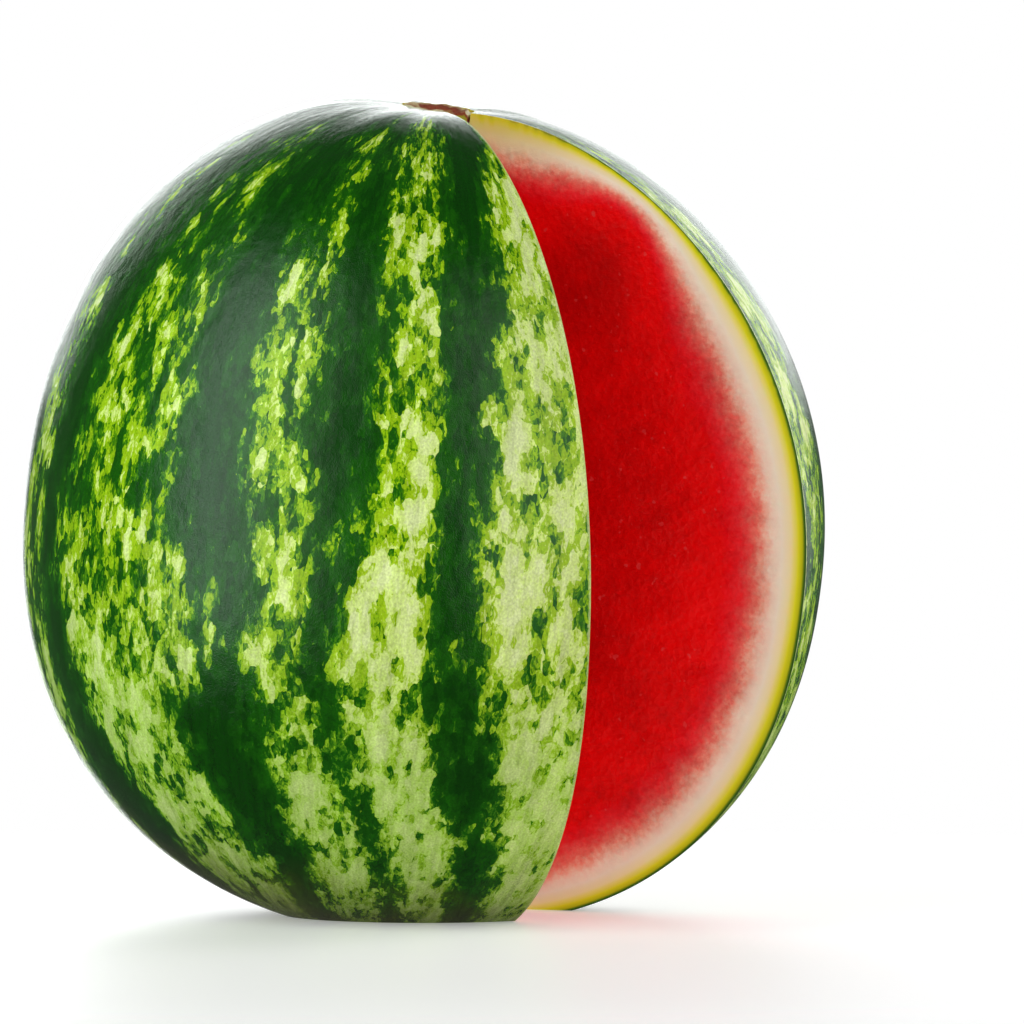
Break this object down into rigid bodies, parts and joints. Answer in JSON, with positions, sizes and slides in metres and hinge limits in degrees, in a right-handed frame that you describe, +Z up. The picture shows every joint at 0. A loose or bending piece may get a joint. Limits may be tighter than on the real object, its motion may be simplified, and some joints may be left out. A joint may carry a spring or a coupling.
{
  "type": "watermelon",
  "caption": "Large round striped seedless watermelon standing stem end up on a small sliced base, with a wedge cut out to show the red flesh.",
  "frame": {"origin": "on the plane of the sliced base, under the middle of the whole outline", "axes": "+Z up towards the stem end; -Y towards the viewer who sees the notch at the front right; +X to that viewer's right"},
  "size_m": [0.2504, 0.2526, 0.2559],
  "materials": {
    "melon": "waxy satin skin with dark green and pale mottled yellow-green stripes; wet matte red flesh and cream rind where cut",
    "corky_stem": "dry fibrous cork, matt, brown with pale and greenish flecks"
  },
  "bodies": {
    "root": {"fruit": "melon", "stem_stub": "corky_stem"}
  },
  "joints": []
}
